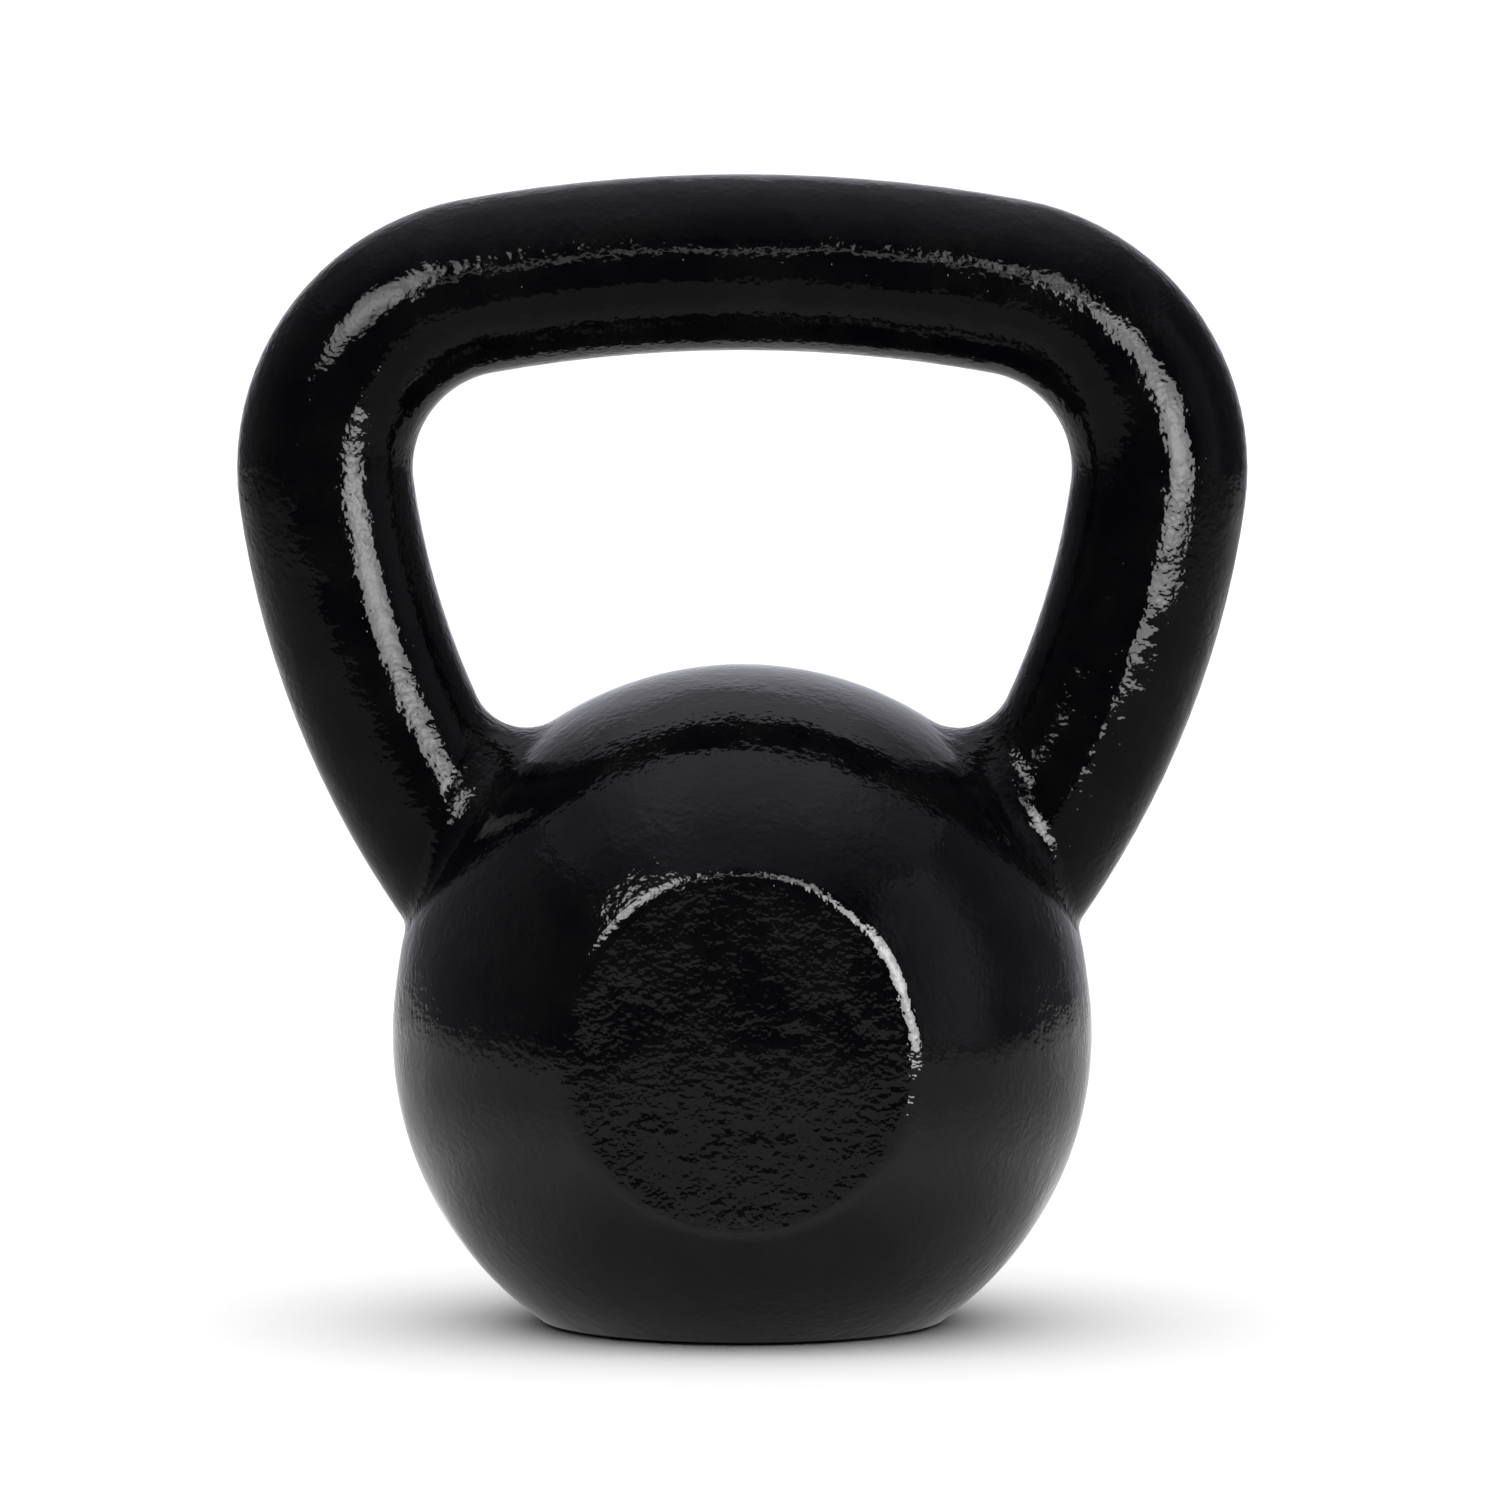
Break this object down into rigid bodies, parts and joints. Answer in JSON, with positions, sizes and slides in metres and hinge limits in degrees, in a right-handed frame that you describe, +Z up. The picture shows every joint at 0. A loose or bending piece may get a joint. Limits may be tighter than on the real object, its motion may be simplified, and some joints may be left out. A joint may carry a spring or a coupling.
{
  "type": "kettlebell",
  "caption": "Iron kettlebell: a round weight with a flat base and flat faces, and a thick bent handle for one or two hands.",
  "frame": {"origin": "centre of the flat base, on the surface that it stands on", "axes": "+Z up through the handle, +X along the grip, -Y out of the front face"},
  "size_m": [0.194, 0.117, 0.2211],
  "materials": {
    "ball_enamel": "gloss black enamel over sand-cast iron, fine bumps and pits showing through",
    "handle_enamel": "gloss black enamel over cast iron, smoother on the grip",
    "weld_enamel": "gloss black enamel over a dressed weld"
  },
  "bodies": {
    "root": {"ball": "ball_enamel", "handle": "handle_enamel", "left_root_weld": "weld_enamel", "right_root_weld": "weld_enamel"}
  },
  "joints": []
}
